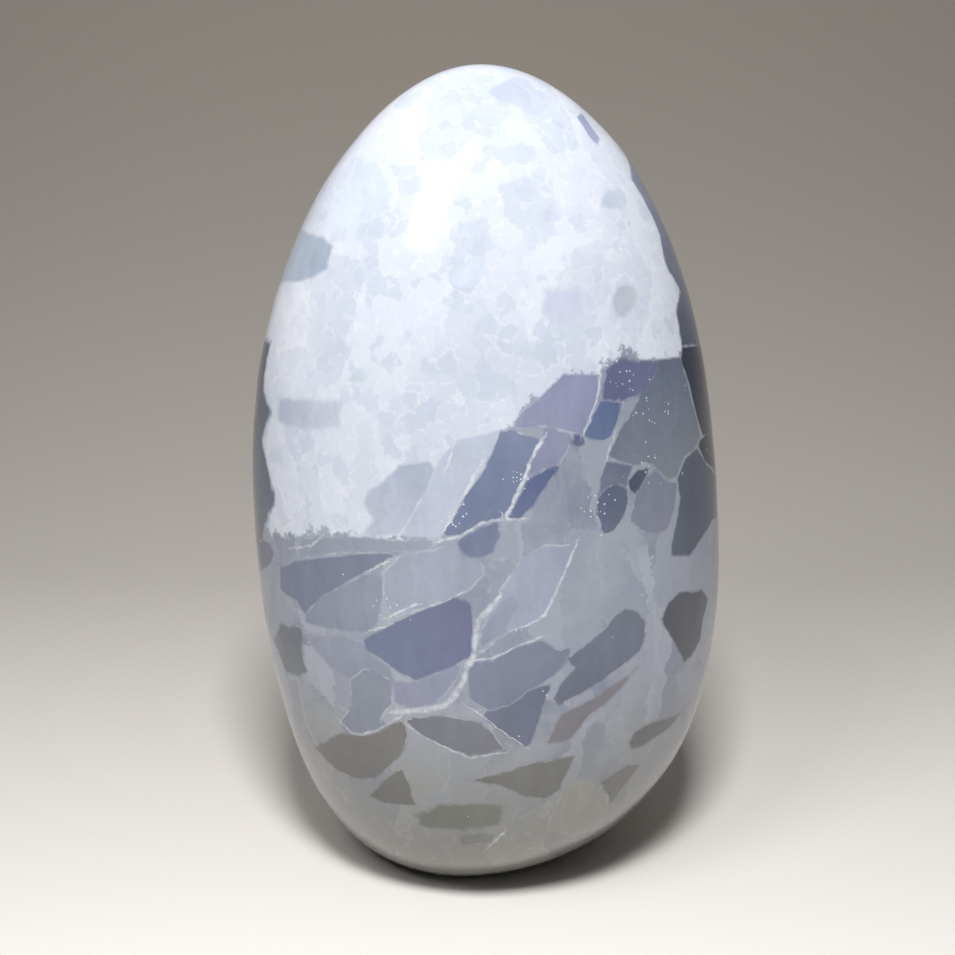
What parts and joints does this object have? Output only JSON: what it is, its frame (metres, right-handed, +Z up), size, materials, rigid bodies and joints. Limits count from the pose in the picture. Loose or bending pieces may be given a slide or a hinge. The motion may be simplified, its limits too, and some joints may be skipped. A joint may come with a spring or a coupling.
{
  "type": "blue calcite freeform",
  "caption": "Hand-polished, egg-shaped freeform of milky blue calcite that stands upright on a small ground flat.",
  "frame": {"origin": "under the middle of the stone's width and depth, in the plane of the ground flat", "axes": "+Z up from the flat to the crown, -Y towards the front that the picture shows, +X to that view's right"},
  "size_m": [0.0869, 0.0724, 0.1499],
  "materials": {
    "polished_calcite": "high polish; milky, slightly translucent blue-grey calcite with a mosaic of interlocked crystals, cleavage planes, white fracture lines and a sugary white zone towards the crown"
  },
  "bodies": {
    "root": {"calcite_freeform": "polished_calcite"}
  },
  "joints": []
}
